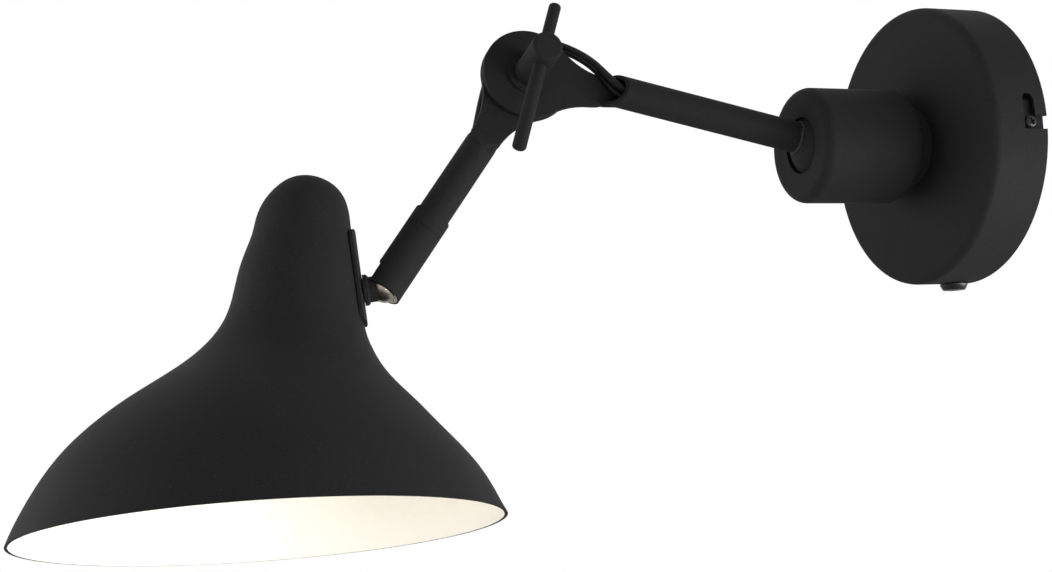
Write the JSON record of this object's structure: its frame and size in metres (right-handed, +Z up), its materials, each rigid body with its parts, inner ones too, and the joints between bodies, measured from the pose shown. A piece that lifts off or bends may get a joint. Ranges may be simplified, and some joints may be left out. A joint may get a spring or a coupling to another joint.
{
  "type": "articulating wall lamp",
  "caption": "Wall lamp on a round rose: ball socket, two tubular arms with a clamped elbow, a swivel sleeve and a spun shade with an off-centre neck.",
  "frame": {"origin": "centre of the rose's back, in the plane of the wall, midway between the two fixing slots", "axes": "+Y into the wall, the lamp reaches towards -Y, +Z up, +X to the right for someone who faces the wall"},
  "size_m": [0.1512, 0.3379, 0.1867],
  "materials": {
    "black_paint": "matte powder coat, near black; the shade's inside is matt white",
    "cast_paint": "matte powder coat, near black, on turned steel",
    "zinc_steel": "zinc plated",
    "nickel": "satin nickel plate",
    "spring_steel": "spring steel",
    "black_screw": "blackened steel",
    "brass_parts": "plain brass",
    "black_friction": "acetal, for friction faces",
    "white_plastic": "moulded, white",
    "black_plastic": "moulded, black",
    "black_sheath": "smooth black sheath",
    "lamp_glass": "frosted"
  },
  "bodies": {
    "wall": {"wall_bracket": "zinc_steel", "rose_cover": "black_paint", "rim_screws": "black_screw", "lock_screw": "black_screw", "terminal_block": "white_plastic", "terminal_screws": "brass_parts", "earth_screw": "brass_parts", "nipple": "zinc_steel", "lock_washer": "zinc_steel", "nipple_nut": "zinc_steel", "socket_rear": "cast_paint", "socket_front": "cast_paint", "cup_spring": "spring_steel"},
    "socket_cup": {"friction_cup": "black_friction"},
    "ball": {"swivel_ball": "cast_paint"},
    "upper_arm": {"upper_arm": "black_paint", "front_washer": "cast_paint", "elbow_lead": "black_sheath", "elbow_strand": "black_sheath"},
    "lower_arm": {"lower_arm": "black_paint", "elbow_washer": "black_friction", "rear_washer": "cast_paint", "pivot_bolt": "cast_paint", "arm_collar": "cast_paint", "spindle_clip": "spring_steel"},
    "clamp_handle": {"clamp_barrel": "cast_paint", "tommy_bar": "cast_paint"},
    "sleeve": {"swivel_sleeve": "cast_paint", "ball_bush": "nickel", "ball_seat": "black_friction", "seat_spring": "spring_steel"},
    "stud": {"ball_stud": "nickel"},
    "shade": {"stud_flange": "cast_paint", "saddle_plate": "black_paint", "shade": "black_paint", "stud_nut": "zinc_steel", "holder_bracket": "zinc_steel", "holder_nut": "zinc_steel", "lampholder": "black_plastic", "holder_contact": "brass_parts", "lamp_cap": "nickel", "lamp_glass": "lamp_glass"}
  },
  "joints": [
    {"name": "ball_orbit", "type": "hinge", "parent": "wall", "child": "socket_cup", "pos_m": [0, -0.0551, 0], "axis": [0, -1, 0], "range_deg": [-90, 90]},
    {"name": "ball_tilt", "type": "hinge", "parent": "socket_cup", "child": "ball", "pos_m": [0, -0.0551, 0], "axis": [0.9191, 0, 0.3939], "range_deg": [-3.1, 33.9]},
    {"name": "arm_twist", "type": "hinge", "parent": "ball", "child": "upper_arm", "pos_m": [0, -0.0551, 0], "axis": [-0.1046, -0.9641, 0.2441], "range_deg": [-90, 90]},
    {"name": "elbow", "type": "hinge", "parent": "upper_arm", "child": "lower_arm", "pos_m": [-0.01167, -0.16269, 0.02724], "axis": [0.9792, -0.057, 0.1945], "range_deg": [-120, 60], "deforming": ["elbow_lead", "elbow_strand"]},
    {"name": "clamp_turn", "type": "hinge", "parent": "lower_arm", "child": "clamp_handle", "pos_m": [-0.01167, -0.16269, 0.02724], "axis": [0.9792, -0.057, 0.1945], "range_deg": [0, 180]},
    {"name": "sleeve_turn", "type": "hinge", "parent": "lower_arm", "child": "sleeve", "pos_m": [-0.01217, -0.21771, -0.04655], "axis": [0.12, -0.6099, -0.7833], "range_deg": [-160, 160]},
    {"name": "shade_tilt", "type": "hinge", "parent": "sleeve", "child": "stud", "pos_m": [-0.01217, -0.21771, -0.04655], "axis": [-0.8918, 0.2805, -0.355], "range_deg": [-51.4, 18]},
    {"name": "shade_turn", "type": "hinge", "parent": "stud", "child": "shade", "pos_m": [-0.01217, -0.21771, -0.04655], "axis": [-0.266, -0.9598, -0.0899], "range_deg": [-90, 90]}
  ]
}
